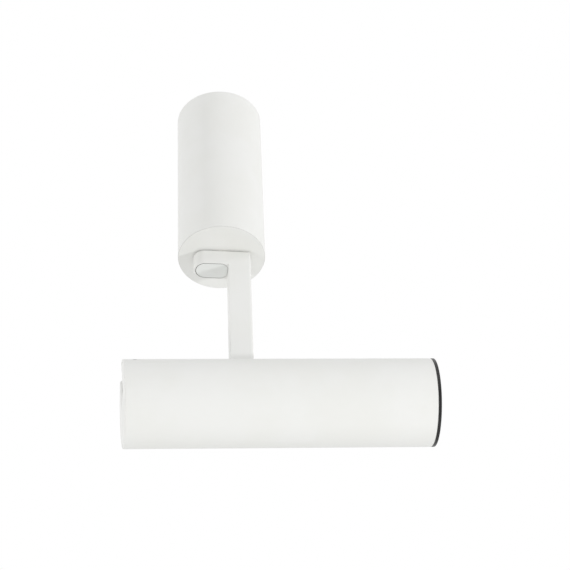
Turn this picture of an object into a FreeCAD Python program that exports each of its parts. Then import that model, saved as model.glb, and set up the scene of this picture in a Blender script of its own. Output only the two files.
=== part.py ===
import FreeCAD, Part
import math
import os

from FreeCAD import Placement, Rotation, Vector

# Ceiling spotlight: a round canopy, a swivel block with a bar arm under it,
# and a slotted tube head that the arm dips into. Millimetres, +Z up.
# The origin is the centre of the canopy's ceiling face. The head is shown
# across the arm, its front end to +X, and it folds down to hang in line
# with the canopy, the arm lying inside the slot.

# Driving sizes of the whole light
canopy_diameter = 62.0
canopy_length = 144.5
head_diameter = 60.0
head_rear_length = 81.2
head_front_length = 129.7
arm_reach = 125.6
rest_tilt_deg = 3.3

# Upper tilt limit, which sets the front end of the slot
tilt_above_level_deg = 5.0

# Clearances and overruns
overrun = 2.0
join = 0.2
seat_gap = 0.15
thread_gap = 0.05
running_gap = 0.05
face_gap = 0.3
swivel_gap = 1.3
tolerance = 1e-6

# Canopy cup
cup_wall = 1.6
cup_floor = 2.0
cup_edge_radius = 0.6
cup_inner_radius = 0.8
cup_screw_radius = 2.0
cup_screw_length = 5.0
cup_screw_drop = 7.5
cup_screw_angles = (55, 125)

# Ceiling plate
plate_thickness = 1.5
plate_skirt = 14.0
plate_bend_radius = 1.6
cable_entry_radius = 7.0
fixing_spacing = 40.0
fixing_slot_width = 4.5
fixing_slot_length = 9.0
earth_tab_width = 9.0
earth_tab_height = 9.0
earth_tab_y = -18.0
earth_screw_radius = 2.0
earth_screw_length = 7.0

# Swivel: plate and bush in the cup, hollow shaft through them
swivel_plate_thickness = 3.0
swivel_plate_chamfer = 1.0
bush_radius = 5.5
bush_flange_radius = 6.6
shaft_radius = 4.0
shaft_bore_radius = 2.75
shaft_flat = 3.4
shaft_flange_radius = 6.2
shaft_flange_thickness = 2.0
shaft_spanner_radius = 0.7
shaft_spanner_circle = 5.1
shaft_tail = 1.5
thrust_washer_radius = 9.0
thrust_washer_thickness = 0.8
stop_washer_radius = 8.5
stop_washer_thickness = 1.5
stop_tab_width = 3.0
stop_tab_reach = 12.8
stop_pin_radius = 1.5
stop_pin_circle = 11.5
stop_pin_proud = 0.4
disc_spring_radius = 8.0
disc_spring_thickness = 0.6
disc_spring_rise = 0.6
swivel_nut_flats = 12.0
swivel_nut_height = 4.5

# Driver and terminals inside the canopy
bracket_thickness = 1.5
bracket_width = 20.0
bracket_foot = 11.0
bracket_face_y = 13.0
bracket_top_drop = 17.0
bracket_bend_radius = 1.5
bracket_screw_spacing = 11.0
bracket_window_width = 8.0
bracket_window_length = 34.0
driver_width = 36.0
driver_depth = 25.0
driver_corner = 2.5
driver_lift = 21.0
driver_terminal_gap = 5.5
driver_entry_radius = 3.2
driver_entry_depth = 4.0
driver_end_rib = 1.2
driver_rib_height = 6.0
driver_screw_inset = 8.0
terminal_width = 30.0
terminal_depth = 9.0
terminal_height = 14.0
terminal_pole_width = 8.0
terminal_step = 3.5
terminal_wire_radius = 1.7
terminal_screw_radius = 1.5
terminal_screw_length = 3.4
terminal_screw_sink = 0.6
terminal_poles = 3
small_screw_radius = 1.5
small_head_radius = 2.8
small_head_height = 1.8
small_screw_length = 6.0
socket_depth = 1.6
socket_share = 0.5

# Arm: swivel block and bar in one piece
block_length = 40.0
block_depth = 15.4
block_height = 12.3
block_roof = 5.0
block_edge_radius = 0.35
arm_width = 15.8
arm_corner_radius = 1.6
arm_inner_edge = 0.4
cover_thickness = 1.6
cover_gap = 0.4
cover_near_gap = 0.15
cover_side_wall = 0.45
cover_end_wall = 1.2
cover_near_radius = 5.4
cover_ledge = 1.0
cover_edge = 0.15
cover_leg_width = 4.0
cover_leg_thickness = 1.0
cover_leg_height = 4.4
cover_leg_places_share = (-0.24, 0.24)
lead_channel_radius = 2.8
lead_exit_above_pin = 13.0
tilt_bush_radius = 4.5

# Head tube and rear cap
head_wall = 2.0
tube_edge_radius = 0.5
slot_side_gap = 0.6
slot_end_gap = 1.0
slot_corner_radius = 3.0
notch_gap = 0.8
slot_lead_in = 1.0
rear_cap_thickness = 3.0
rear_cap_skirt = 12.0
rear_cap_wall = 1.8
rear_cap_edge = 0.4
head_screw_radius = 1.5
head_screw_length = 4.0
rear_screw_inset = 8.0
rear_screw_angles = (40, 140)
sink_screw_angles = (60, 120)

# Tilt hinge inside the head
tilt_pin_radius = 3.0
friction_washer_thickness = 0.8
friction_washer_inset = 0.5
cheek_thickness = 3.0
cheek_radius = 9.5
yoke_base_x = 12.0
yoke_base_thickness = 3.5
yoke_base_radius = 24.5
yoke_screw_radius = 2.0
yoke_screw_circle = 9.0
yoke_screw_length = 10.0
yoke_head_radius = 3.6
yoke_head_height = 2.2
tilt_head_radius = 5.0
tilt_head_height = 5.0
tilt_spring_thickness = 1.2
tilt_spring_radius = 6.0
tilt_nut_flats = 10.0
tilt_nut_height = 5.0
tilt_pin_tail = 1.2

# Heat sink and light source
sink_length = 45.0
sink_core_radius = 12.5
sink_flange = 4.5
sink_fins = 20
sink_fin_thickness = 1.5
sink_wire_radius = 2.5
sink_wire_offset = 7.0
board_radius = 20.0
board_thickness = 1.6
board_screw_circle = 15.0
chip_width = 13.5
chip_thickness = 1.0
phosphor_radius = 5.6
phosphor_thickness = 0.5
holder_radius = 18.5
holder_thickness = 4.0
holder_mouth_radius = 7.0
holder_cone = 1.2

# Optic and front end
reflector_throat_radius = 7.8
reflector_mouth_radius = 24.5
reflector_wall = 0.9
reflector_flange = 1.2
reflector_points = 7
seal_thickness = 0.8
seal_width = 2.4
glass_thickness = 3.0
glass_edge = 0.4
ring_thickness = 2.1
ring_recess = 10.6
ring_edge_radius = 0.4
ring_mouth_radius = 27.0
ring_throat_radius = 24.0
ring_grooves = 4
ring_groove_depth = 0.6
ring_bevel = 0.5

# Levels and places worked out from the sizes above
canopy_radius = canopy_diameter / 2
cup_inner = canopy_radius - cup_wall
floor_top = cup_floor - canopy_length
deck = floor_top + swivel_plate_thickness
terminal_high = -bracket_top_drop
terminal_low = terminal_high - terminal_height
terminal_middle = (terminal_low + terminal_high) / 2
stop_level = deck + thrust_washer_thickness
spring_level = stop_level + stop_washer_thickness
nut_level = spring_level + disc_spring_thickness + disc_spring_rise
shaft_top = nut_level + swivel_nut_height + shaft_tail
arm_top = -canopy_length - swivel_gap
block_bottom = arm_top - block_height
pocket_roof = arm_top - block_roof
block_end = block_length / 2
half_depth = block_depth / 2
bar_left = block_end - arm_width
pin_x = block_end - arm_width / 2
pin_z = arm_top - arm_reach
head_radius = head_diameter / 2
head_inner = head_radius - head_wall
pin_rise = pin_x
tube_rear = -head_rear_length
tube_front = head_front_length - ring_thickness
slot_half = half_depth + slot_side_gap
notch_floor = pin_rise - arm_width / 2 - notch_gap
cheek_inner = half_depth + friction_washer_thickness
cheek_outer = cheek_inner + cheek_thickness
sink_rear = yoke_base_x + yoke_base_thickness
sink_front = sink_rear + sink_length
board_front = sink_front + board_thickness
holder_front = board_front + holder_thickness
glass_front = tube_front - ring_recess
glass_rear = glass_front - glass_thickness
seal_rear = glass_rear - seal_thickness
reflector_mouth = seal_rear - reflector_flange


def rounded_face(corners, place):
    """Flat face through corners (a, b, radius), each radius a tangent arc."""
    count = len(corners)
    arcs = []
    for i, (a, b, radius) in enumerate(corners):
        here = Vector(a, b, 0)
        back = Vector(corners[i - 1][0], corners[i - 1][1], 0) - here
        ahead = Vector(corners[(i + 1) % count][0], corners[(i + 1) % count][1], 0) - here
        back.normalize()
        ahead.normalize()
        half = back.getAngle(ahead) / 2
        inward = back + ahead
        if radius > 0:
            inward.normalize()
            run = radius / math.tan(half)
            middle = here + inward * (radius / math.sin(half) - radius)
            arcs.append((here + back * run, middle, here + ahead * run))
        else:
            arcs.append((here, None, here))
    edges = []
    for i, (first, middle, last) in enumerate(arcs):
        if middle is not None:
            edges.append(Part.Arc(place(first), place(middle), place(last)).toShape())
        start = arcs[(i + 1) % count][0]
        if (start - last).Length > tolerance:
            edges.append(Part.makeLine(place(last), place(start)))
    return Part.Face(Part.Wire(edges))


def on_plan(v):
    return Vector(v.x, v.y, 0)


def on_side(v):
    return Vector(v.x, 0, v.y)


def on_cross(v):
    return Vector(0, v.x, v.y)


def plan(corners, low, high):
    """Outline in X and Y, raised from low to high along Z."""
    face = rounded_face(corners, on_plan)
    face.translate(Vector(0, 0, low))
    return face.extrude(Vector(0, 0, high - low))


def side(corners, near, far):
    """Outline in X and Z, thickened from near to far along Y."""
    face = rounded_face(corners, on_side)
    face.translate(Vector(0, near, 0))
    return face.extrude(Vector(0, far - near, 0))


def cross(corners, left, right):
    """Outline in Y and Z, lengthened from left to right along X."""
    face = rounded_face(corners, on_cross)
    face.translate(Vector(left, 0, 0))
    return face.extrude(Vector(right - left, 0, 0))


def turn_z(corners):
    """Outline of radius and height, turned about Z."""
    return rounded_face(corners, on_side).revolve(Vector(0, 0, 0), Vector(0, 0, 1), 360)


def turn_x(corners):
    """Outline of length and radius, turned about X."""
    return rounded_face(corners, on_side).revolve(Vector(0, 0, 0), Vector(1, 0, 0), 360)


def rod(radius, start, end):
    """Round bar from one point to another."""
    run = end - start
    return Part.makeCylinder(radius, run.Length, start, run)


def ring_z(outer, inner, low, high):
    return turn_z([(inner, low, 0), (outer, low, 0), (outer, high, 0), (inner, high, 0)])


def box(x0, x1, y0, y1, z0, z1):
    return Part.makeBox(x1 - x0, y1 - y0, z1 - z0, Vector(x0, y0, z0))


def spoke_z(angle, radius, z):
    """Point at an angle about Z."""
    turn = math.radians(angle)
    return Vector(radius * math.cos(turn), radius * math.sin(turn), z)


def spoke_x(angle, radius, x):
    """Point at an angle about X, counted from +Y towards +Z."""
    turn = math.radians(angle)
    return Vector(x, radius * math.cos(turn), radius * math.sin(turn))


def hexagon(flats, base, top):
    """Six sided bar between two points, its far edges bevelled."""
    run = top - base
    reach = flats / math.sqrt(3)
    corners = []
    for step in range(6):
        turn = math.radians(60 * step)
        corners.append((reach * math.cos(turn), reach * math.sin(turn), 0))
    bar = plan(corners, 0, run.Length)
    bevel = reach - flats / 2
    trim = turn_z([(0, 0, 0), (reach, 0, 0), (reach, run.Length - bevel, 0),
                   (reach - bevel, run.Length, 0), (0, run.Length, 0)])
    bar = bar.common(trim)
    bar.Placement = Placement(base, Rotation(Vector(0, 0, 1), run))
    return bar


def nut(flats, hole, base, top):
    run = top - base
    return hexagon(flats, base, top).cut(rod(hole, base - run, top + run))


def pan_screw(radius, dome_radius, head_height, seat, tip):
    """Screw with a domed head on its seat and a hex socket in the head."""
    run = tip - seat
    out = run * (-1 / run.Length)
    dome = turn_z([(0, 0, 0), (dome_radius, 0, 0),
                   (dome_radius, head_height, head_height * socket_share), (0, head_height, 0)])
    dome.Placement = Placement(seat, Rotation(Vector(0, 0, 1), out))
    top = seat + out * head_height
    socket = hexagon(radius * socket_share * 2, top - out * head_height * socket_share, top + out * overrun)
    return dome.fuse(rod(radius, seat, tip)).cut(socket).removeSplitter()


def grub_screw(radius, outer, inner):
    """Headless screw with a hex socket in its outer end."""
    run = inner - outer
    out = run * (-1 / run.Length)
    socket = hexagon(radius * socket_share * 2, outer - out * socket_depth, outer + out * overrun)
    return rod(radius, outer, inner).cut(socket)


def ceiling_plate():
    radius = cup_inner - seat_gap
    hollow = radius - plate_thickness
    shell = turn_z([
        (cable_entry_radius, 0, 0),
        (radius, 0, plate_bend_radius),
        (radius, -plate_skirt, 0),
        (hollow, -plate_skirt, 0),
        (hollow, -plate_thickness, 0),
        (cable_entry_radius, -plate_thickness, 0),
    ])
    reach = fixing_slot_length / 2
    half = fixing_slot_width / 2
    for middle in (-fixing_spacing / 2, fixing_spacing / 2):
        slot = [(middle - reach, -half, half), (middle + reach, -half, half),
                (middle + reach, half, half), (middle - reach, half, half)]
        shell = shell.cut(plan(slot, -plate_thickness - overrun, overrun))
    for angle in cup_screw_angles:
        hole = rod(cup_screw_radius + thread_gap, spoke_z(angle, hollow - overrun, -cup_screw_drop),
                   spoke_z(angle, radius + overrun, -cup_screw_drop))
        shell = shell.cut(hole)
    wide = earth_tab_width / 2
    low = -plate_thickness - earth_tab_height
    tab = side([(-wide, -plate_thickness / 2, 0), (wide, -plate_thickness / 2, 0),
                (wide, low, wide / 2), (-wide, low, wide / 2)],
               earth_tab_y, earth_tab_y + plate_thickness)
    level = low + wide
    hole = rod(earth_screw_radius + thread_gap, Vector(0, earth_tab_y - overrun, level),
               Vector(0, earth_tab_y + plate_thickness + overrun, level))
    return shell.fuse(tab).cut(hole).removeSplitter()


def canopy_cup():
    shell = turn_z([
        (canopy_radius, 0, 0),
        (canopy_radius, -canopy_length, cup_edge_radius),
        (bush_radius + thread_gap, -canopy_length, 0),
        (bush_radius + thread_gap, floor_top, 0),
        (cup_inner, floor_top, cup_inner_radius),
        (cup_inner, 0, 0),
    ])
    for angle in cup_screw_angles:
        hole = rod(cup_screw_radius + thread_gap, spoke_z(angle, cup_inner - overrun, -cup_screw_drop),
                   spoke_z(angle, canopy_radius + overrun, -cup_screw_drop))
        shell = shell.cut(hole)
    return shell


def canopy_screws():
    outer = canopy_radius - face_gap
    return [grub_screw(cup_screw_radius, spoke_z(angle, outer, -cup_screw_drop),
                       spoke_z(angle, outer - cup_screw_length, -cup_screw_drop))
            for angle in cup_screw_angles]


def earth_screw():
    level = earth_tab_width / 2 - plate_thickness - earth_tab_height
    seat = Vector(0, earth_tab_y, level)
    return pan_screw(earth_screw_radius, earth_screw_radius * 2, earth_screw_radius,
                     seat, seat + Vector(0, earth_screw_length, 0))


def bracket_screw_places():
    foot_y = bracket_face_y + bracket_thickness + (bracket_foot - bracket_thickness) / 2
    half = bracket_screw_spacing / 2
    return [Vector(x, foot_y, deck + bracket_thickness) for x in (-half, half)]


def swivel_plate():
    radius = cup_inner - thread_gap
    plate = turn_z([
        (bush_radius + thread_gap, floor_top, 0),
        (radius - swivel_plate_chamfer, floor_top, 0),
        (radius, floor_top + swivel_plate_chamfer, 0),
        (radius, deck, 0),
        (bush_radius + thread_gap, deck, 0),
    ])
    plate = plate.cut(rod(stop_pin_radius + thread_gap, Vector(stop_pin_circle, 0, floor_top - overrun),
                          Vector(stop_pin_circle, 0, deck + overrun)))
    for seat in bracket_screw_places():
        drop = Vector(0, 0, seat.z - floor_top + overrun)
        plate = plate.cut(rod(small_screw_radius + thread_gap, seat - drop, seat))
    return plate


def swivel_bush():
    bore = shaft_radius + running_gap
    return turn_z([
        (bore, arm_top, 0),
        (bush_flange_radius, arm_top, 0),
        (bush_flange_radius, -canopy_length, 0),
        (bush_radius, -canopy_length, 0),
        (bush_radius, deck, 0),
        (bore, deck, 0),
    ])


def thrust_washer():
    return ring_z(thrust_washer_radius, shaft_radius + seat_gap, deck, stop_level)


def stop_pin():
    top = spring_level + stop_pin_proud
    return rod(stop_pin_radius, Vector(stop_pin_circle, 0, floor_top), Vector(stop_pin_circle, 0, top))


def shaft_section(gap, low, high):
    """Round bar with two flats, the key of the swivel shaft."""
    radius = shaft_radius + gap
    flat = shaft_flat + gap
    bar = rod(radius, Vector(0, 0, low), Vector(0, 0, high))
    return bar.common(box(-radius, radius, -flat, flat, low, high))


def swivel_shaft():
    shank = rod(shaft_radius, Vector(0, 0, pocket_roof), Vector(0, 0, stop_level))
    flange_base = arm_top - shaft_flange_thickness
    flange = rod(shaft_flange_radius, Vector(0, 0, flange_base), Vector(0, 0, arm_top))
    for y in (-shaft_spanner_circle, shaft_spanner_circle):
        flange = flange.cut(rod(shaft_spanner_radius, Vector(0, y, flange_base - overrun),
                                Vector(0, y, arm_top + overrun)))
    key = shaft_section(0, stop_level, shaft_top)
    bore = rod(shaft_bore_radius, Vector(0, 0, pocket_roof - overrun), Vector(0, 0, shaft_top + overrun))
    return shank.fuse(flange).fuse(key).cut(bore).removeSplitter()


def stop_washer():
    disc = rod(stop_washer_radius, Vector(0, 0, stop_level), Vector(0, 0, spring_level))
    half = stop_tab_width / 2
    tab = plan([(-stop_tab_reach, -half, join), (0, -half, 0), (0, half, 0), (-stop_tab_reach, half, join)],
               stop_level, spring_level)
    key = shaft_section(thread_gap, stop_level - overrun, spring_level + overrun)
    return disc.fuse(tab).cut(key).removeSplitter()


def swivel_spring():
    bore = shaft_radius + seat_gap
    return turn_z([
        (bore, spring_level + disc_spring_rise, 0),
        (disc_spring_radius, spring_level, 0),
        (disc_spring_radius, spring_level + disc_spring_thickness, 0),
        (bore, nut_level, 0),
    ])


def swivel_nut():
    return nut(swivel_nut_flats, shaft_radius + thread_gap,
               Vector(0, 0, nut_level), Vector(0, 0, nut_level + swivel_nut_height))


def driver_span():
    return deck + driver_lift, terminal_low - driver_terminal_gap


def driver_bracket():
    face = bracket_face_y
    back = face + bracket_thickness
    top = terminal_high
    strip = cross([
        (face, deck, bracket_bend_radius + bracket_thickness),
        (face + bracket_foot, deck, 0),
        (face + bracket_foot, deck + bracket_thickness, 0),
        (back, deck + bracket_thickness, bracket_bend_radius),
        (back, top, 0),
        (face, top, 0),
    ], -bracket_width / 2, bracket_width / 2)
    low, high = driver_span()
    middle = (low + high) / 2
    wide = bracket_window_width / 2
    tall = bracket_window_length / 2
    window = side([(-wide, middle - tall, wide), (wide, middle - tall, wide),
                   (wide, middle + tall, wide), (-wide, middle + tall, wide)],
                  face - overrun, back + overrun)
    strip = strip.cut(window)
    for seat, tip in fixing_lines():
        strip = strip.cut(rod(small_screw_radius + thread_gap, seat + Vector(0, overrun, 0), tip))
    for seat in bracket_screw_places():
        strip = strip.cut(rod(small_screw_radius + thread_gap, seat - Vector(0, 0, overrun + bracket_thickness),
                              seat + Vector(0, 0, overrun)))
    return strip


def fixing_lines():
    """Screws through the bracket's back into the driver and the terminal block."""
    low, high = driver_span()
    back = bracket_face_y + bracket_thickness
    half = terminal_pole_width / 2 + terminal_gap() / 2
    places = [(0, low + driver_screw_inset), (0, high - driver_screw_inset), (-half, terminal_middle), (half, terminal_middle)]
    return [(Vector(x, back, z), Vector(x, back - small_screw_length, z)) for x, z in places]


def bracket_screws():
    drop = Vector(0, 0, swivel_plate_thickness + bracket_thickness - join)
    return [pan_screw(small_screw_radius, small_head_radius, small_head_height, seat, seat - drop)
            for seat in bracket_screw_places()]


def driver_case():
    low, high = driver_span()
    wide = driver_width / 2
    near = bracket_face_y - driver_depth
    far = bracket_face_y
    case = plan([(-wide, near, driver_corner), (wide, near, driver_corner),
                 (wide, far, driver_corner), (-wide, far, driver_corner)], low, high)
    # A shallow step round the case shows where the lid meets the tray
    inset = driver_end_rib
    band = plan([(-wide, near, driver_corner), (wide, near, driver_corner),
                 (wide, near + driver_rib_height, 0), (-wide, near + driver_rib_height, 0)],
                low - overrun, high + overrun)
    core = plan([(-wide + inset, near, driver_corner), (wide - inset, near, driver_corner),
                 (wide - inset, near + driver_rib_height, 0), (-wide + inset, near + driver_rib_height, 0)],
                low - overrun, high + overrun)
    case = case.cut(band.cut(core))
    middle = (near + far) / 2
    for x in (-wide / 2, wide / 2):
        for level, inward in ((low, driver_entry_depth), (high, -driver_entry_depth)):
            start = Vector(x, middle, level - inward)
            case = case.cut(rod(driver_entry_radius, start, Vector(x, middle, level + inward)))
    for seat, tip in fixing_lines()[:2]:
        case = case.cut(rod(small_screw_radius + thread_gap, seat, tip - Vector(0, overrun, 0)))
    return case


def fixing_screws():
    return [pan_screw(small_screw_radius, small_head_radius, small_head_height, seat, tip)
            for seat, tip in fixing_lines()]


def terminal_gap():
    """Gap between one pole of the terminal block and the next."""
    return (terminal_width - terminal_poles * terminal_pole_width) / (terminal_poles - 1)


def pole_places():
    pitch = terminal_pole_width + terminal_gap()
    first = -pitch * (terminal_poles - 1) / 2
    return [first + pitch * i for i in range(terminal_poles)]


def terminal_block():
    low, high = terminal_low, terminal_high
    far = bracket_face_y
    near = far - terminal_depth
    middle = (near + far) / 2
    base = box(-terminal_width / 2, terminal_width / 2, far - terminal_step, far, low, high)
    half = terminal_pole_width / 2
    for x in pole_places():
        pole = plan([(x - half, near, half / 2), (x + half, near, half / 2), (x + half, far, 0), (x - half, far, 0)],
                    low, high)
        base = base.fuse(pole)
    for x in pole_places():
        base = base.cut(rod(terminal_wire_radius, Vector(x, middle, low - overrun), Vector(x, middle, high + overrun)))
    for place in terminal_screw_places():
        base = base.cut(rod(terminal_screw_radius + thread_gap, place - Vector(0, overrun, 0),
                            place + Vector(0, terminal_screw_length + terminal_screw_sink, 0)))
    for seat, tip in fixing_lines()[2:]:
        base = base.cut(rod(small_screw_radius + thread_gap, seat, tip - Vector(0, overrun, 0)))
    return base.removeSplitter()


def terminal_screw_places():
    """Mouths of the clamp screws, two to a pole."""
    near = bracket_face_y - terminal_depth
    rise = terminal_height / 4
    return [Vector(x, near, terminal_middle + step) for x in pole_places() for step in (-rise, rise)]


def terminal_screws():
    sink = Vector(0, terminal_screw_sink, 0)
    run = Vector(0, terminal_screw_length, 0)
    return [grub_screw(terminal_screw_radius, place + sink, place + run) for place in terminal_screw_places()]


def cover_outline(inset, near_inset):
    """Rounded outline of the pocket under the swivel block, drawn in all round and beside the bar."""
    left = cover_end_wall - block_end + inset
    right = bar_left - near_inset
    wide = half_depth - cover_side_wall - inset
    tight = cover_near_radius - inset
    return [(left, -wide, wide), (right, -wide, tight), (right, wide, tight), (left, wide, wide)]


def arm():
    block = plan([(-block_end, -half_depth, half_depth), (block_end, -half_depth, arm_corner_radius),
                  (block_end, half_depth, arm_corner_radius), (-block_end, half_depth, half_depth)],
                 block_bottom, arm_top)
    rim = [edge for edge in block.Edges
           if edge.BoundBox.ZMax < block_bottom + tolerance and edge.BoundBox.XMax < block_end - tolerance]
    block = block.makeFillet(block_edge_radius, rim)
    foot = pin_z - arm_width / 2
    bar = plan([(bar_left, -half_depth, arm_inner_edge), (block_end, -half_depth, arm_corner_radius),
                (block_end, half_depth, arm_corner_radius), (bar_left, half_depth, arm_inner_edge)],
               foot, arm_top)
    round_end = side([(bar_left, arm_top, 0), (bar_left, foot, arm_width / 2),
                      (block_end, foot, arm_width / 2), (block_end, arm_top, 0)],
                     -half_depth, half_depth)
    body = block.fuse(bar.common(round_end))
    ledge_top = block_bottom + cover_thickness
    body = body.cut(plan(cover_outline(0, 0), block_bottom - overrun, ledge_top))
    body = body.cut(plan(cover_outline(cover_ledge, cover_ledge), ledge_top - overrun, pocket_roof))
    body = body.cut(rod(shaft_radius + thread_gap, Vector(0, 0, pocket_roof), Vector(0, 0, arm_top + overrun)))
    body = body.cut(rod(shaft_flange_radius + seat_gap, Vector(0, 0, arm_top - shaft_flange_thickness),
                        Vector(0, 0, arm_top + overrun)))
    level = (ledge_top + pocket_roof) / 2
    exit_level = pin_z + lead_exit_above_pin
    channel = rod(lead_channel_radius, Vector(0, 0, level), Vector(pin_x, 0, level))
    channel = channel.fuse(rod(lead_channel_radius, Vector(pin_x, 0, exit_level), Vector(pin_x, 0, level)))
    channel = channel.fuse(Part.makeSphere(lead_channel_radius, Vector(pin_x, 0, level)))
    channel = channel.fuse(Part.makeSphere(lead_channel_radius, Vector(pin_x, 0, exit_level)))
    channel = channel.fuse(rod(lead_channel_radius, Vector(pin_x, 0, exit_level),
                               Vector(block_end + overrun, 0, exit_level)))
    body = body.cut(channel)
    body = body.cut(rod(tilt_bush_radius + thread_gap, Vector(pin_x, -half_depth - overrun, pin_z),
                        Vector(pin_x, half_depth + overrun, pin_z)))
    return body.removeSplitter()


def pocket_cover():
    top = block_bottom + cover_thickness
    plate = plan(cover_outline(cover_gap, cover_near_gap), block_bottom, top)
    rim = [edge for edge in plate.Edges if edge.BoundBox.ZMax < block_bottom + tolerance]
    plate = plate.makeFillet(cover_edge, rim)
    wall = half_depth - cover_side_wall - cover_ledge - seat_gap
    left = cover_end_wall - block_end
    right = bar_left
    for share in cover_leg_places_share:
        middle = (left + right) / 2 + (right - left) / 2 * share
        for sign in (-1, 1):
            inner = sign * (wall - cover_leg_thickness)
            outer = sign * wall
            leg = box(middle - cover_leg_width / 2, middle + cover_leg_width / 2,
                      min(inner, outer), max(inner, outer), top - join, top + cover_leg_height)
            plate = plate.fuse(leg)
    return plate.removeSplitter()


def tilt_bush():
    bore = tilt_pin_radius + running_gap
    near = Vector(pin_x, -half_depth, pin_z)
    far = Vector(pin_x, half_depth, pin_z)
    beyond = Vector(0, overrun, 0)
    return rod(tilt_bush_radius, near, far).cut(rod(bore, near - beyond, far + beyond))


# The head is modelled along X with its tube on the axis and the tilt pin
# straight above the origin, and is then carried to the pin and tilted.

def in_head(shape):
    shape.translate(Vector(0, 0, -pin_rise))
    shape.rotate(Vector(0, 0, 0), Vector(0, 1, 0), -rest_tilt_deg)
    shape.translate(Vector(pin_x, 0, pin_z))
    return shape


def radial_screws(angles, x):
    """Headless screws from just under the tube's skin inwards."""
    outer = head_radius - face_gap
    return [grub_screw(head_screw_radius, spoke_x(angle, outer, x), spoke_x(angle, outer - head_screw_length, x))
            for angle in angles]


def radial_holes(shape, angles, x):
    for angle in angles:
        shape = shape.cut(rod(head_screw_radius + thread_gap,
                              spoke_x(angle, head_radius - head_screw_length - overrun, x),
                              spoke_x(angle, head_radius + overrun, x)))
    return shape


def slot_front():
    """Front end of the slot: the bar's front face at the upper tilt limit."""
    lean = math.radians(tilt_above_level_deg)
    return arm_width / 2 / math.cos(lean) + (head_radius - pin_rise) * math.tan(lean) + slot_end_gap


def rear_screw_x():
    return tube_rear + rear_screw_inset


def sink_screw_x():
    return sink_front - sink_flange / 2


def slot_lead():
    """Wedge that bevels the slot's sides at the rear end, where the bar dips in."""
    rear = tube_rear - overrun
    inner = tube_rear + slot_lead_in
    wide = slot_half + slot_lead_in + overrun
    return plan([(rear, -wide, 0), (inner, -slot_half, 0), (inner, slot_half, 0), (rear, wide, 0)],
                notch_floor + tube_edge_radius, head_radius + overrun)


def head_tube():
    tube = turn_x([
        (tube_rear, head_inner, 0),
        (tube_rear, head_radius, tube_edge_radius),
        (tube_front - ring_bevel, head_radius, 0),
        (tube_front, head_radius - ring_bevel, 0),
        (tube_front, head_inner, 0),
    ])
    rear = tube_rear - overrun
    slot = plan([(rear, -slot_half, 0), (slot_front(), -slot_half, slot_corner_radius),
                 (slot_front(), slot_half, slot_corner_radius), (rear, slot_half, 0)],
                head_inner / 2, head_radius + overrun)
    tube = tube.cut(slot).cut(slot_lead())
    tube = radial_holes(tube, rear_screw_angles, rear_screw_x())
    tube = radial_holes(tube, sink_screw_angles, sink_screw_x())
    return in_head(tube)


def rear_cap():
    radius = head_inner - seat_gap
    skirt_end = tube_rear + rear_cap_skirt
    inside = tube_rear + rear_cap_thickness
    cap = turn_x([
        (tube_rear, 0, 0),
        (tube_rear, radius, rear_cap_edge),
        (skirt_end, radius, 0),
        (skirt_end, radius - rear_cap_wall, 0),
        (inside, radius - rear_cap_wall, 0),
        (inside, 0, 0),
    ])
    notch = cross([(-slot_half, notch_floor, tube_edge_radius), (slot_half, notch_floor, tube_edge_radius),
                   (slot_half, head_radius + overrun, 0), (-slot_half, head_radius + overrun, 0)],
                  tube_rear - overrun, skirt_end + overrun)
    cap = cap.cut(notch).cut(slot_lead())
    cap = radial_holes(cap, rear_screw_angles, rear_screw_x())
    return in_head(cap)


def hinge_yoke():
    base = turn_x([
        (yoke_base_x, 0, 0),
        (yoke_base_x, yoke_base_radius, tube_edge_radius),
        (sink_rear, yoke_base_radius, 0),
        (sink_rear, 0, 0),
    ])
    cheek = side([(-cheek_radius, pin_rise - cheek_radius, cheek_radius), (sink_rear, pin_rise - cheek_radius, 0),
                  (sink_rear, pin_rise + cheek_radius, 0), (-cheek_radius, pin_rise + cheek_radius, cheek_radius)],
                 cheek_inner, cheek_outer)
    mirrored = cheek.mirror(Vector(0, 0, 0), Vector(0, 1, 0))
    yoke = base.fuse(cheek).fuse(mirrored)
    yoke = yoke.cut(rod(tilt_pin_radius + thread_gap, Vector(0, -cheek_outer - overrun, pin_rise),
                        Vector(0, cheek_outer + overrun, pin_rise)))
    for height in (-yoke_screw_circle, yoke_screw_circle):
        yoke = yoke.cut(rod(yoke_screw_radius + thread_gap, Vector(yoke_base_x - overrun, 0, height),
                            Vector(sink_rear + overrun, 0, height)))
    yoke = yoke.cut(wire_hole(yoke_base_x - overrun, sink_rear + overrun))
    return in_head(yoke.removeSplitter())


def wire_hole(start, end):
    return rod(sink_wire_radius, Vector(start, -sink_wire_offset, 0), Vector(end, -sink_wire_offset, 0))


def yoke_screws():
    screws = []
    for height in (-yoke_screw_circle, yoke_screw_circle):
        seat = Vector(yoke_base_x, 0, height)
        screws.append(pan_screw(yoke_screw_radius, yoke_head_radius, yoke_head_height,
                                seat, seat + Vector(yoke_screw_length, 0, 0)))
    return [in_head(screw) for screw in screws]


def tilt_bolt():
    far = cheek_outer + tilt_spring_thickness + tilt_nut_height + tilt_pin_tail
    bolt = rod(tilt_head_radius, Vector(0, -cheek_outer - tilt_head_height, pin_rise),
               Vector(0, -cheek_outer, pin_rise))
    bolt = bolt.fuse(rod(tilt_pin_radius, Vector(0, -cheek_outer, pin_rise), Vector(0, far, pin_rise)))
    outer = -cheek_outer - tilt_head_height
    socket = hexagon(tilt_head_radius, Vector(0, outer + tilt_head_height * socket_share, pin_rise),
                     Vector(0, outer - overrun, pin_rise))
    return in_head(bolt.cut(socket).removeSplitter())


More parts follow.
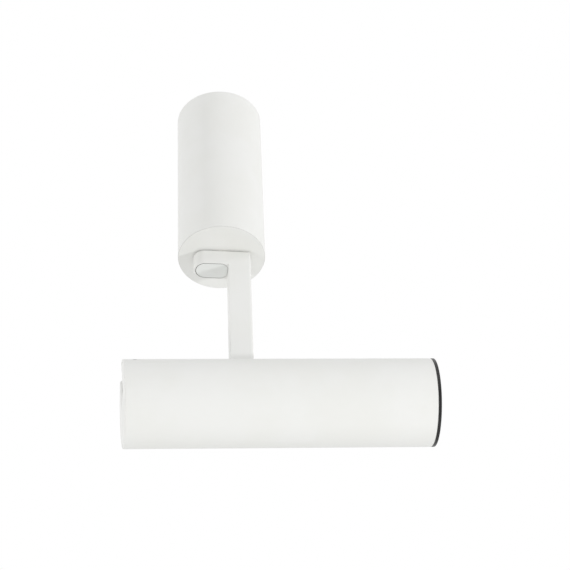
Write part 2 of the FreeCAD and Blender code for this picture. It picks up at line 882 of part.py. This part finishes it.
def friction_washers():
    radius = arm_width / 2 - friction_washer_inset
    rings = []
    for near, far in ((-cheek_inner, -half_depth), (half_depth, cheek_inner)):
        ring = rod(radius, Vector(0, near, pin_rise), Vector(0, far, pin_rise))
        rings.append(ring.cut(rod(tilt_pin_radius + seat_gap, Vector(0, near - overrun, pin_rise),
                                  Vector(0, far + overrun, pin_rise))))
    return [in_head(ring) for ring in rings]


def tilt_spring():
    near = cheek_outer
    far = cheek_outer + tilt_spring_thickness
    ring = rod(tilt_spring_radius, Vector(0, near, pin_rise), Vector(0, far, pin_rise))
    return in_head(ring.cut(rod(tilt_pin_radius + seat_gap, Vector(0, near - overrun, pin_rise),
                                Vector(0, far + overrun, pin_rise))))


def tilt_nut():
    near = cheek_outer + tilt_spring_thickness
    return in_head(nut(tilt_nut_flats, tilt_pin_radius + thread_gap, Vector(0, near, pin_rise),
                       Vector(0, near + tilt_nut_height, pin_rise)))


def heat_sink():
    radius = head_inner - seat_gap
    flange_rear = sink_front - sink_flange
    body = turn_x([
        (sink_rear, 0, 0),
        (sink_rear, sink_core_radius, 0),
        (flange_rear, sink_core_radius, 0),
        (flange_rear, radius, 0),
        (sink_front, radius, 0),
        (sink_front, 0, 0),
    ])
    half = sink_fin_thickness / 2
    bore = turn_x([(sink_rear, 0, 0), (sink_rear, radius, 0), (flange_rear + join, radius, 0),
                   (flange_rear + join, 0, 0)])
    fin = box(sink_rear, flange_rear + join, -half, half, sink_core_radius / 2, radius + overrun)
    fins = []
    for i in range(sink_fins):
        blade = fin.copy()
        blade.rotate(Vector(0, 0, 0), Vector(1, 0, 0), 360 * (i + socket_share) / sink_fins)
        fins.append(blade.common(bore))
    body = body.fuse(fins)
    for height in (-yoke_screw_circle, yoke_screw_circle):
        body = body.cut(rod(yoke_screw_radius + thread_gap, Vector(sink_rear - overrun, 0, height),
                            Vector(yoke_base_x + yoke_screw_length + join, 0, height)))
    body = body.cut(wire_hole(sink_rear - overrun, sink_front + overrun))
    for seat, tip in board_screw_lines():
        body = body.cut(rod(small_screw_radius + thread_gap, seat, tip - Vector(join, 0, 0)))
    body = radial_holes(body, sink_screw_angles, sink_screw_x())
    return in_head(body.removeSplitter())


def board_screw_lines():
    tip = sink_front - sink_flange + join
    return [(Vector(holder_front, y, 0), Vector(tip, y, 0)) for y in (-board_screw_circle, board_screw_circle)]


def led_board():
    board = turn_x([(sink_front, 0, 0), (sink_front, board_radius, 0), (board_front, board_radius, 0),
                    (board_front, 0, 0)])
    for seat, tip in board_screw_lines():
        board = board.cut(rod(small_screw_radius + thread_gap, seat, tip))
    return in_head(board.cut(wire_hole(sink_front - overrun, board_front + overrun)))


def led_chip():
    half = chip_width / 2
    return in_head(box(board_front, board_front + chip_thickness, -half, half, -half, half))


def led_phosphor():
    rear = board_front + chip_thickness
    return in_head(rod(phosphor_radius, Vector(rear, 0, 0), Vector(rear + phosphor_thickness, 0, 0)))


def led_holder():
    half = chip_width / 2 + seat_gap
    ring = turn_x([
        (board_front, 0, 0),
        (board_front, holder_radius, 0),
        (holder_front, holder_radius, tube_edge_radius),
        (holder_front, holder_mouth_radius + holder_cone, 0),
        (board_front + chip_thickness + seat_gap, holder_mouth_radius, 0),
        (board_front + chip_thickness + seat_gap, 0, 0),
    ])
    ring = ring.cut(box(board_front - overrun, board_front + chip_thickness + seat_gap, -half, half, -half, half))
    for seat, tip in board_screw_lines():
        ring = ring.cut(rod(small_screw_radius + thread_gap, seat + Vector(overrun, 0, 0), tip))
    return in_head(ring)


def board_screws():
    return [in_head(pan_screw(small_screw_radius, small_head_radius, small_head_height, seat, tip))
            for seat, tip in board_screw_lines()]


def reflector():
    throat = holder_front
    length = reflector_mouth - throat
    gain = reflector_mouth_radius ** 2 - reflector_throat_radius ** 2
    inner = []
    outer = []
    for i in range(reflector_points):
        share = i / (reflector_points - 1)
        radius = math.sqrt(reflector_throat_radius ** 2 + gain * share)
        inner.append(Vector(throat + length * share, 0, radius))
        outer.append(Vector(throat + length * share, 0, radius + reflector_wall))
    bowl = Part.BSplineCurve()
    bowl.interpolate(inner)
    back = Part.BSplineCurve()
    back.interpolate(outer)
    flange_radius = head_inner - seat_gap
    flange_front = reflector_mouth + reflector_flange
    rim = [outer[-1], Vector(reflector_mouth, 0, flange_radius), Vector(flange_front, 0, flange_radius),
           Vector(flange_front, 0, reflector_mouth_radius), inner[-1]]
    edges = [bowl.toShape(), back.toShape(), Part.makeLine(inner[0], outer[0])]
    edges += [Part.makeLine(a, b) for a, b in zip(rim, rim[1:])]
    face = Part.Face(Part.Wire(Part.__sortEdges__(edges)))
    return in_head(face.revolve(Vector(0, 0, 0), Vector(1, 0, 0), 360))


def glass_seal():
    radius = head_inner - seat_gap
    return in_head(turn_x([(seal_rear, radius - seal_width, 0), (seal_rear, radius, 0), (glass_rear, radius, 0),
                           (glass_rear, radius - seal_width, 0)]))


def front_glass():
    radius = head_inner - seat_gap
    return in_head(turn_x([(glass_rear, 0, 0), (glass_rear, radius, glass_edge), (glass_front, radius, glass_edge),
                           (glass_front, 0, 0)]))


def front_ring():
    sleeve = head_inner - seat_gap
    front = head_front_length
    length = front - glass_front
    corners = [
        (glass_front, sleeve, 0),
        (tube_front, sleeve, 0),
        (tube_front, head_radius - ring_bevel, 0),
        (tube_front + ring_bevel / 2, head_radius, 0),
        (front, head_radius, ring_edge_radius),
        (front, ring_mouth_radius, ring_edge_radius),
    ]
    # Glare grooves: a saw-tooth that narrows from the mouth to the glass
    step = length / (ring_grooves + 1)
    fall = (ring_mouth_radius - ring_throat_radius) / (ring_grooves + 1)
    for i in range(ring_grooves):
        x = front - step * (i + 1)
        radius = ring_mouth_radius - fall * (i + 1)
        corners.append((x, radius, 0))
        corners.append((x, radius + ring_groove_depth, 0))
    corners.append((glass_front, ring_throat_radius, 0))
    return in_head(turn_x(corners))


def rear_cap_screws():
    return [in_head(screw) for screw in radial_screws(rear_screw_angles, rear_screw_x())]


def sink_screws():
    return [in_head(screw) for screw in radial_screws(sink_screw_angles, sink_screw_x())]


nodes = {
    "ceiling_plate": ceiling_plate,
    "canopy_cup": canopy_cup,
    "canopy_screws": canopy_screws,
    "earth_screw": earth_screw,
    "swivel_plate": swivel_plate,
    "swivel_bush": swivel_bush,
    "thrust_washer": thrust_washer,
    "stop_pin": stop_pin,
    "driver_bracket": driver_bracket,
    "bracket_screws": bracket_screws,
    "driver_case": driver_case,
    "fixing_screws": fixing_screws,
    "terminal_block": terminal_block,
    "terminal_screws": terminal_screws,
    "arm": arm,
    "pocket_cover": pocket_cover,
    "swivel_shaft": swivel_shaft,
    "stop_washer": stop_washer,
    "swivel_spring": swivel_spring,
    "swivel_nut": swivel_nut,
    "tilt_bush": tilt_bush,
    "head_tube": head_tube,
    "rear_cap": rear_cap,
    "rear_cap_screws": rear_cap_screws,
    "hinge_yoke": hinge_yoke,
    "yoke_screws": yoke_screws,
    "tilt_bolt": tilt_bolt,
    "friction_washers": friction_washers,
    "tilt_spring": tilt_spring,
    "tilt_nut": tilt_nut,
    "heat_sink": heat_sink,
    "sink_screws": sink_screws,
    "led_board": led_board,
    "led_chip": led_chip,
    "led_phosphor": led_phosphor,
    "led_holder": led_holder,
    "board_screws": board_screws,
    "reflector": reflector,
    "glass_seal": glass_seal,
    "front_glass": front_glass,
    "front_ring": front_ring,
}

os.makedirs("parts", exist_ok=True)
for name, make in nodes.items():
    made = make()
    solids = made if isinstance(made, list) else [made]
    pieces = [solid for shape in solids for solid in shape.Solids]
    shape = pieces[0] if len(pieces) == 1 else Part.makeCompound(pieces)
    shape.exportStep("parts/" + name + ".step")
    print(name, len(pieces), "solids, volume", round(shape.Volume, 1), "valid", shape.isValid())
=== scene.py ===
import math

import bpy
from mathutils import Matrix, Vector


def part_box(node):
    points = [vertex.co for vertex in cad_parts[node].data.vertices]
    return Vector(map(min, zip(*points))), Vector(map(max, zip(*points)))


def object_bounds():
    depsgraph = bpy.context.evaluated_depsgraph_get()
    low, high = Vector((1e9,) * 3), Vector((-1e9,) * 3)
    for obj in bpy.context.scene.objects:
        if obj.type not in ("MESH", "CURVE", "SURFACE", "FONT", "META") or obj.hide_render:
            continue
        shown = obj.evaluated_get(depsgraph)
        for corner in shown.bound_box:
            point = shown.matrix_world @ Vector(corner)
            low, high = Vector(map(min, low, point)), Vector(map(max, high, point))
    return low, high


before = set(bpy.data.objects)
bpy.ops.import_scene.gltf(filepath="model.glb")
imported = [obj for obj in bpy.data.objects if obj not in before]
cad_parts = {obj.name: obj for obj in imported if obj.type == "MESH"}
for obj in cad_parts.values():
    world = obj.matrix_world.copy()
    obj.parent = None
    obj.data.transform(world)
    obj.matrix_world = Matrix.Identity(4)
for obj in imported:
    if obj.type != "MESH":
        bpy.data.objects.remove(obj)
cad_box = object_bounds()

MM = 0.001

# View of the photograph, fitted to the edges of the light: metres, with the sensor in millimetres
photo_side = 570
focal_pixels = 2473.7
sensor_width = 36.0
view_heading = math.radians(7.02)
view_pitch = math.radians(44.87)
view_roll = math.radians(-2.56)
view_distance = 1.7566
view_shift_right = 0.04502
view_shift_up = -0.0194

# Floor far under the light, in metres
floor_level = -2.4
floor_reach = 40.0

# Studio light, fitted to the shades of the photograph. A lamp's share is how bright it makes a white
# card that faces it at the light's middle, 1 being plain white. The room's share comes from all sides.
studio_white = (1.0, 1.004, 1.015)
room_share = 0.7308
lamp_distance = 2.2
lamps = [
    # Name, heading and height in degrees, side in metres, share. Heading 0 is the viewer's side
    ("right_box", 63, -28, 0.16, 0.2779),
    ("left_back_box", -110, 0, 0.55, 0.0957),
    ("left_low_box", -70, -40, 0.2, 0.0951),
    ("right_back_box", 110, -60, 0.55, 0.0538),
    ("front_box", 30, 25, 0.55, 0.0658),
    ("left_high_box", -60, 40, 0.55, 0.0266),
]

# Sockets of a Mix node that hold its share and its colours
mix_share = 0
mix_first = 6
mix_second = 7
mix_result = 2


class Wire:
    """A socket among a material's nodes. Sums with a wire add Math nodes, and sums of numbers don't."""

    def __init__(self, tree, socket=None):
        self.tree = tree
        self.socket = socket

    def node(self, kind, settings=None, feeds=None, out=0):
        """Adds a node, its settings first and then its sockets' values or wires. Returns one output."""
        made = self.tree.nodes.new(kind)
        for name, value in (settings or {}).items():
            setattr(made, name, value)
        for name, value in (feeds or {}).items():
            if isinstance(value, Wire):
                self.tree.links.new(value.socket, made.inputs[name])
            else:
                made.inputs[name].default_value = value
        return Wire(self.tree, made.outputs[out]) if made.outputs else None

    def beside(self, name):
        """Another output of the node that this wire leaves."""
        return Wire(self.tree, self.socket.node.outputs[name])

    def math(self, operation, first, second=0.0):
        return self.node("ShaderNodeMath", {"operation": operation}, {0: first, 1: second})

    def __add__(self, other):
        return self.math("ADD", self, other)

    __radd__ = __add__

    def __sub__(self, other):
        return self.math("SUBTRACT", self, other)

    def __rsub__(self, other):
        return self.math("SUBTRACT", other, self)

    def __mul__(self, other):
        return self.math("MULTIPLY", self, other)

    __rmul__ = __mul__


def shown(red, green, blue):
    """Linear colour of a screen colour whose parts run from 0 to 255."""
    parts = [c / 255 for c in (red, green, blue)]
    return tuple(c / 12.92 if c <= 0.04045 else ((c + 0.055) / 1.055) ** 2.4 for c in parts) + (1.0,)


def start_finish(name):
    """Empty material, and a wire to build its nodes from."""
    material = bpy.data.materials.new(name)
    material.use_nodes = True
    material.node_tree.nodes.clear()
    return material, Wire(material.node_tree)


def close_finish(material, shader):
    shader.node("ShaderNodeOutputMaterial", feeds={"Surface": shader})
    return material


def part_place(start):
    """Position on the part in metres, which stays with it when it moves."""
    return start.node("ShaderNodeTexCoord", out="Object")


def parts_of(place):
    """X, Y and Z of a position."""
    across = place.node("ShaderNodeSeparateXYZ", feeds={"Vector": place}, out="X")
    return across, across.beside("Y"), across.beside("Z")


def axis_distance(place):
    """Distance of a position from the canopy's axis."""
    flat = place.node("ShaderNodeVectorMath", {"operation": "MULTIPLY"}, {0: place, 1: (1.0, 1.0, 0.0)})
    return flat.node("ShaderNodeVectorMath", {"operation": "LENGTH"}, {0: flat}, out="Value")


def noise(place, per_metre, detail=2.0):
    return place.node("ShaderNodeTexNoise",
                      feeds={"Vector": place, "Scale": per_metre, "Detail": detail})


def lines(place, per_metre, detail):
    """Noise with its own scale on each axis, drawn out into lines along the axes where that is low."""
    stretched = place.node("ShaderNodeMapping", {"vector_type": "POINT"},
                           {"Vector": place, "Scale": per_metre})
    return noise(stretched, 1.0, detail)


def ramped(value, low, high):
    """0 up to the low value, 1 from the high one, and eased between them."""
    return value.node("ShaderNodeMapRange", {"interpolation_type": "SMOOTHSTEP"},
                      {"Value": value, "From Min": low, "From Max": high})


def swayed(base, pattern, reach):
    """Value round a base, moved by a pattern that runs from 0 to 1."""
    return base + (pattern - 0.5) * reach


def mixed(share, first, second):
    """Colour between two colours."""
    return share.node("ShaderNodeMix", {"data_type": "RGBA"},
                      {mix_share: share, mix_first: first, mix_second: second}, out=mix_result)


def mixed_shaders(share, first, second):
    return share.node("ShaderNodeMixShader", feeds={0: share, 1: first, 2: second})


def bumped(height, depth):
    """Normal of a surface whose height from 0 to 1 stands for a depth in metres."""
    return height.node("ShaderNodeBump", feeds={"Strength": 1.0, "Distance": depth, "Height": height})


def surface(start, **feeds):
    """Principled surface. An underscore in a name stands for a space in the socket's."""
    named = {name.replace("_", " "): value for name, value in feeds.items()}
    return start.node("ShaderNodeBsdfPrincipled", feeds=named)


def middle(node):
    low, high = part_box(node)
    return (low + high) / 2


# The head's own axis, from the lamp's board to the glass
head_axis = (middle("front_glass") - middle("led_board")).normalized()
head_tilt = math.atan2(head_axis.z, head_axis.x)
head_origin = middle("led_board")


def head_place(start):
    """Position on the head, which stays with it: X along the tube from the board, Y and Z across it."""
    place = part_place(start)
    return place.node("ShaderNodeMapping", {"vector_type": "TEXTURE"},
                      {"Vector": place, "Location": head_origin, "Rotation": (0.0, -head_tilt, 0.0)})


# Lowest point of the pocket's cover, and the corners of the canopy's cup
cover_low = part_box("pocket_cover")[0]
cup_low, cup_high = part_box("canopy_cup")

# Height above the cover's face at which its bevel starts and has taken over, and the dark colour painted
# as shade on the bevel and in the gap round the cover
bevel_start = 0.02 * MM
bevel_end = 0.08 * MM
painted_gap_shade = shown(84, 83, 80)

# Band of painted shade along the cup's bottom edge: its width on the rim, its height on the wall, and how
# softly it ends.
# Below the rim the band stops at the gap over the swivel block.
band_width = 0.4 * MM
band_height = 0.2 * MM
band_fade = 0.25 * MM
gap_start = 0.1 * MM
gap_end = 0.3 * MM
painted_edge_shade = shown(224, 224, 220)


def cover_side_shade(place):
    """1 on the bevel and the sides of the pocket's cover, in the thin gap round it, where shade is
    painted, and 0 on its face.
    """
    up = parts_of(place)[2]
    return ramped(up, cover_low.z + bevel_start, cover_low.z + bevel_end)


def cup_edge_shade(place):
    """1 along the sharp bottom edge of the canopy's cup, where shade is painted as a darker band, and 0
    elsewhere.
    """
    up = parts_of(place)[2]
    band_inside = cup_high.x - band_width
    band_top = cup_low.z + band_height
    outer = ramped(axis_distance(place), band_inside - band_fade, band_inside)
    above = ramped(up, cup_low.z - gap_end, cup_low.z - gap_start)
    below = 1 - ramped(up, band_top, band_top + band_fade)
    return outer * above * below


def powder_coat():
    """Fine matt white powder coat: soft clouding, a faint orange peel, a fine grain, and painted shade
    along the cup's bottom edge.
    """
    material, start = start_finish("powder_coat")
    place = part_place(start)
    cloud = noise(place, per_metre=28.0, detail=3.0)
    peel = noise(place, per_metre=620.0, detail=1.0)
    grain = noise(place, per_metre=2600.0, detail=1.0)
    tint = mixed(ramped(cloud, 0.35, 0.65), shown(240, 240, 236), shown(242, 242, 239))
    rough = swayed(swayed(0.5, cloud, reach=0.08), grain, reach=0.06)
    # Base colour turns to painted shade along the cup's bottom edge
    coat = surface(start, Base_Color=mixed(cup_edge_shade(place), tint, painted_edge_shade), Roughness=rough,
                   Normal=bumped(peel * 0.7 + grain * 0.3, depth=0.01 * MM))
    return close_finish(material, coat)


def moulded_white():
    """Moulded plastic cover, a little smoother and colder than the coat beside it, with painted shade on
    its bevel and sides.
    """
    material, start = start_finish("moulded_white")
    place = part_place(start)
    cloud = noise(place, per_metre=60.0)
    grain = noise(place, per_metre=3200.0, detail=1.0)
    tint = mixed(cloud, shown(236, 238, 235), shown(240, 241, 238))
    # The cover's bevel and sides take the dark painted shade of the gap round it
    coat = surface(start, Base_Color=mixed(cover_side_shade(place), tint, painted_gap_shade),
                   Roughness=swayed(0.42, grain, reach=0.1), Normal=bumped(grain, depth=0.004 * MM))
    return close_finish(material, coat)


def black_anodise():
    """Turned and black anodised aluminium, with a tool mark at each feed of the lathe."""
    material, start = start_finish("black_anodise")
    place = head_place(start)
    along = parts_of(place)[0]
    feed = 0.35 * MM
    marks = along.math("SINE", along * (2 * math.pi / feed))
    rings = lines(place, per_metre=(9000.0, 60.0, 60.0), detail=1.0)
    cloud = noise(place, per_metre=300.0)
    tint = mixed(cloud, shown(9, 9, 10), shown(18, 17, 18))
    coat = surface(start, Base_Color=tint, Roughness=swayed(0.36, rings, reach=0.16),
                   Normal=bumped(marks * 0.3 + rings, depth=0.006 * MM))
    return close_finish(material, coat)


def zinc_plate():
    """Bright zinc plate: faint patches and fine drawing lines."""
    material, start = start_finish("zinc_plate")
    place = part_place(start)
    patch = noise(place, per_metre=140.0, detail=3.0)
    drawn = lines(place, per_metre=(300.0, 5000.0, 300.0), detail=2.0)
    tint = mixed(ramped(patch, 0.3, 0.7), shown(186, 189, 194), shown(214, 214, 210))
    metal = surface(start, Base_Color=tint, Metallic=1.0,
                    Roughness=swayed(0.26 + patch * 0.14, drawn, reach=0.12),
                    Normal=bumped(drawn, depth=0.003 * MM))
    return close_finish(material, metal)


def turned_brass():
    """Brass turned about an upright axis, with fine rings one above the other."""
    material, start = start_finish("turned_brass")
    place = part_place(start)
    patch = noise(place, per_metre=200.0)
    rings = lines(place, per_metre=(400.0, 400.0, 7000.0), detail=1.0)
    tint = mixed(patch, shown(205, 172, 108), shown(222, 192, 128))
    metal = surface(start, Base_Color=tint, Metallic=1.0, Roughness=swayed(0.24, rings, reach=0.16),
                    Normal=bumped(rings, depth=0.003 * MM))
    return close_finish(material, metal)


def plain_nylon():
    """Natural nylon, milky and slightly see-through at its edges."""
    material, start = start_finish("plain_nylon")
    place = part_place(start)
    cloud = noise(place, per_metre=120.0)
    grain = noise(place, per_metre=1800.0, detail=1.0)
    tint = mixed(cloud, shown(232, 229, 214), shown(240, 238, 228))
    body = surface(start, Base_Color=tint, Roughness=swayed(0.44, grain, reach=0.1),
                   Subsurface_Weight=0.2, Subsurface_Scale=1.5 * MM,
                   Normal=bumped(grain, depth=0.006 * MM))
    return close_finish(material, body)


def driver_shell():
    """Spark finished polycarbonate of the driver's case."""
    material, start = start_finish("driver_shell")
    place = part_place(start)
    cloud = noise(place, per_metre=40.0)
    spark = place.node("ShaderNodeTexVoronoi", feeds={"Vector": place, "Scale": 1400.0})
    tint = mixed(cloud, shown(226, 226, 222), shown(234, 234, 231))
    body = surface(start, Base_Color=tint, Roughness=0.55 + (spark - 0.4) * 0.15,
                   Normal=bumped(spark, depth=0.012 * MM))
    return close_finish(material, body)


def extruded_aluminium():
    """Plain aluminium with extrusion lines along the head."""
    material, start = start_finish("extruded_aluminium")
    place = head_place(start)
    drawn = lines(place, per_metre=(40.0, 2600.0, 2600.0), detail=3.0)
    patch = noise(place, per_metre=90.0, detail=3.0)
    tint = mixed(patch, shown(198, 200, 203), shown(214, 215, 216))
    metal = surface(start, Base_Color=tint, Metallic=1.0, Roughness=swayed(0.34, drawn, reach=0.24),
                    Normal=bumped(drawn, depth=0.006 * MM))
    return close_finish(material, metal)


def spun_mirror():
    """Bright reflector with faint spinning rings about the head's axis."""
    material, start = start_finish("spun_mirror")
    place = head_place(start)
    along = parts_of(place)[0]
    rings = noise(along.node("ShaderNodeCombineXYZ", feeds={"X": along * 1600.0}), 1.0, detail=3.0)
    haze = noise(place, per_metre=160.0)
    tint = mixed(haze, shown(228, 229, 231), shown(238, 238, 238))
    metal = surface(start, Base_Color=tint, Metallic=1.0,
                    Roughness=swayed(0.08 + haze * 0.05, rings, reach=0.06),
                    Normal=bumped(rings, depth=0.004 * MM))
    return close_finish(material, metal)


def solder_mask():
    """White solder mask with faint tracks under it."""
    material, start = start_finish("solder_mask")
    place = head_place(start)
    patch = noise(place, per_metre=200.0, detail=1.0)
    tracks = place.node("ShaderNodeTexVoronoi", {"distance": "CHEBYCHEV"},
                        {"Vector": place, "Scale": 260.0})
    tint = mixed(ramped(tracks, 0.3, 0.34), shown(232, 233, 230), shown(240, 240, 238))
    body = surface(start, Base_Color=tint, Roughness=0.3 + patch * 0.1,
                   Normal=bumped(1 - ramped(tracks, 0.3, 0.36), depth=0.02 * MM))
    return close_finish(material, body)


def chip_ceramic():
    """Fired ceramic under the lamp's dies."""
    material, start = start_finish("chip_ceramic")
    place = head_place(start)
    grain = noise(place, per_metre=3000.0)
    tint = mixed(grain, shown(226, 226, 220), shown(240, 240, 236))
    body = surface(start, Base_Color=tint, Roughness=swayed(0.6, grain, reach=0.2),
                   Normal=bumped(grain, depth=0.006 * MM))
    return close_finish(material, body)


def phosphor_gel():
    """Yellow phosphor under clear silicone, with the rows of dies just visible in it."""
    material, start = start_finish("phosphor_gel")
    place = head_place(start)
    across, up = parts_of(place)[1:]
    dies_per_metre = 1 / (1.15 * MM)
    beside_die, over_die = [part.math("PINGPONG", part * dies_per_metre, 0.5) for part in (across, up)]
    die = (1 - ramped(beside_die, 0.2, 0.3)) * (1 - ramped(over_die, 0.28, 0.36))
    cloud = noise(place, per_metre=700.0)
    tint = mixed(die * 0.55 + cloud * 0.2, shown(246, 214, 96), shown(226, 172, 44))
    body = surface(start, Base_Color=tint, Roughness=0.3 + cloud * 0.1,
                   Subsurface_Weight=0.3, Subsurface_Scale=0.5 * MM,
                   Normal=bumped(cloud, depth=0.02 * MM))
    return close_finish(material, body)


def holder_white():
    """Matt white moulding that holds the lamp down."""
    material, start = start_finish("holder_white")
    place = head_place(start)
    grain = noise(place, per_metre=2400.0)
    cloud = noise(place, per_metre=80.0, detail=1.0)
    tint = mixed(cloud, shown(232, 232, 228), shown(240, 240, 237))
    body = surface(start, Base_Color=tint, Roughness=swayed(0.5, grain, reach=0.16),
                   Normal=bumped(grain, depth=0.006 * MM))
    return close_finish(material, body)


def dark_silicone():
    """Dull dark seal with a rubbery grain."""
    material, start = start_finish("dark_silicone")
    place = head_place(start)
    grain = noise(place, per_metre=1500.0, detail=3.0)
    tint = mixed(grain, shown(44, 44, 45), shown(66, 66, 67))
    body = surface(start, Base_Color=tint, Roughness=swayed(0.7, grain, reach=0.2),
                   Normal=bumped(grain, depth=0.015 * MM))
    return close_finish(material, body)


def clear_glass():
    """Clear glass with the faintest unevenness; lamps shine through it."""
    material, start = start_finish("clear_glass")
    place = head_place(start)
    wave = noise(place, per_metre=45.0, detail=1.0)
    tint = mixed(wave, (0.97, 0.985, 0.98, 1.0), (0.99, 1.0, 0.995, 1.0))
    glass = surface(start, Base_Color=tint, Roughness=0.01 + wave * 0.02, Transmission_Weight=1.0,
                    IOR=1.5, Normal=bumped(wave, depth=0.02 * MM))
    shadow = start.node("ShaderNodeLightPath", out="Is Shadow Ray")
    open_way = start.node("ShaderNodeBsdfTransparent")
    return close_finish(material, mixed_shaders(shadow, glass, open_way))


# Finish of each material slot of the part
finishes = {
    "white_paint": powder_coat,
    "white_plastic": moulded_white,
    "black_paint": black_anodise,
    "zinc_steel": zinc_plate,
    "brass": turned_brass,
    "nylon": plain_nylon,
    "driver_plastic": driver_shell,
    "aluminium": extruded_aluminium,
    "mirror_aluminium": spun_mirror,
    "board_white": solder_mask,
    "ceramic": chip_ceramic,
    "phosphor": phosphor_gel,
    "holder_plastic": holder_white,
    "silicone": dark_silicone,
    "clear_glass": clear_glass,
}


def dress_nodes():
    """Gives every node of the light the finish of its own material slot."""
    made = {name: finish() for name, finish in finishes.items()}
    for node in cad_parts.values():
        for slot in node.material_slots:
            slot.material = made[slot.material.name.split(".")[0]]


def pale_floor():
    """Wide pale floor far under the light."""
    mesh = bpy.data.meshes.new("floor")
    corners = [(x * floor_reach, y * floor_reach, floor_level)
               for x, y in ((-1, -1), (1, -1), (1, 1), (-1, 1))]
    mesh.from_pydata(corners, [], [(0, 1, 2, 3)])
    floor = bpy.data.objects.new("floor", mesh)
    bpy.context.scene.collection.objects.link(floor)
    material, start = start_finish("pale_floor")
    cloud = noise(part_place(start), per_metre=0.8)
    tint = mixed(cloud, shown(240, 240, 238), shown(246, 246, 245))
    plain = surface(start, Base_Color=tint, Roughness=swayed(0.7, cloud, reach=0.1))
    mesh.materials.append(close_finish(material, plain))


def studio_world():
    """White to the camera and in reflections, and a softer white as light."""
    world = bpy.data.worlds.new("studio")
    world.use_nodes = True
    world.node_tree.nodes.clear()
    start = Wire(world.node_tree)
    camera = start.node("ShaderNodeLightPath", out="Is Camera Ray")
    glossy = camera.beside("Is Glossy Ray")
    through = camera.beside("Is Transmission Ray")
    seen = camera.math("MAXIMUM", camera, camera.math("MAXIMUM", glossy, through))
    light = start.node("ShaderNodeBackground",
                       feeds={"Color": (*studio_white, 1.0), "Strength": room_share})
    white = start.node("ShaderNodeBackground", feeds={"Color": (1.0, 1.0, 1.0, 1.0), "Strength": 1.0})
    both = mixed_shaders(seen, light, white)
    both.node("ShaderNodeOutputWorld", feeds={"Surface": both})
    bpy.context.scene.world = world


def softbox(name, heading, height, side, share):
    """Square lamp that faces the light from a heading and a height in degrees."""
    turn = math.radians(heading)
    rise = math.radians(height)
    away = Vector((math.sin(turn) * math.cos(rise), -math.cos(turn) * math.cos(rise), math.sin(rise)))
    lamp = bpy.data.lights.new(name, "AREA")
    lamp.shape = "SQUARE"
    lamp.size = side
    lamp.energy = (math.pi * lamp_distance) ** 2 * share
    lamp.color = studio_white
    holder = bpy.data.objects.new(name, lamp)
    holder.location = (cad_box[0] + cad_box[1]) / 2 + away * lamp_distance
    holder.rotation_mode = "QUATERNION"
    holder.rotation_quaternion = (-away).to_track_quat("-Z", "Y")
    holder.visible_camera = False
    bpy.context.scene.collection.objects.link(holder)


def photo_camera():
    """Camera of the photograph: from below on the front side, a little turned and rolled."""
    forward = Vector((math.sin(view_heading) * math.cos(view_pitch),
                      math.cos(view_heading) * math.cos(view_pitch), math.sin(view_pitch)))
    level = Vector((math.cos(view_heading), -math.sin(view_heading), 0.0))
    upright = level.cross(forward)
    right = math.cos(view_roll) * level + math.sin(view_roll) * upright
    up = math.cos(view_roll) * upright - math.sin(view_roll) * level
    aim = Vector((0.0, 0.0, cup_low.z))
    data = bpy.data.cameras.new("photo_camera")
    data.sensor_width = sensor_width
    data.lens = focal_pixels / photo_side * sensor_width
    camera = bpy.data.objects.new("photo_camera", data)
    turn = Matrix((right, up, -forward)).transposed()
    place = aim - forward * view_distance + right * view_shift_right + up * view_shift_up
    camera.matrix_world = Matrix.Translation(place) @ turn.to_4x4()
    bpy.context.scene.collection.objects.link(camera)
    bpy.context.scene.camera = camera


dress_nodes()
pale_floor()
studio_world()
for each_lamp in lamps:
    softbox(*each_lamp)
photo_camera()
bpy.context.scene.view_settings.view_transform = "Standard"
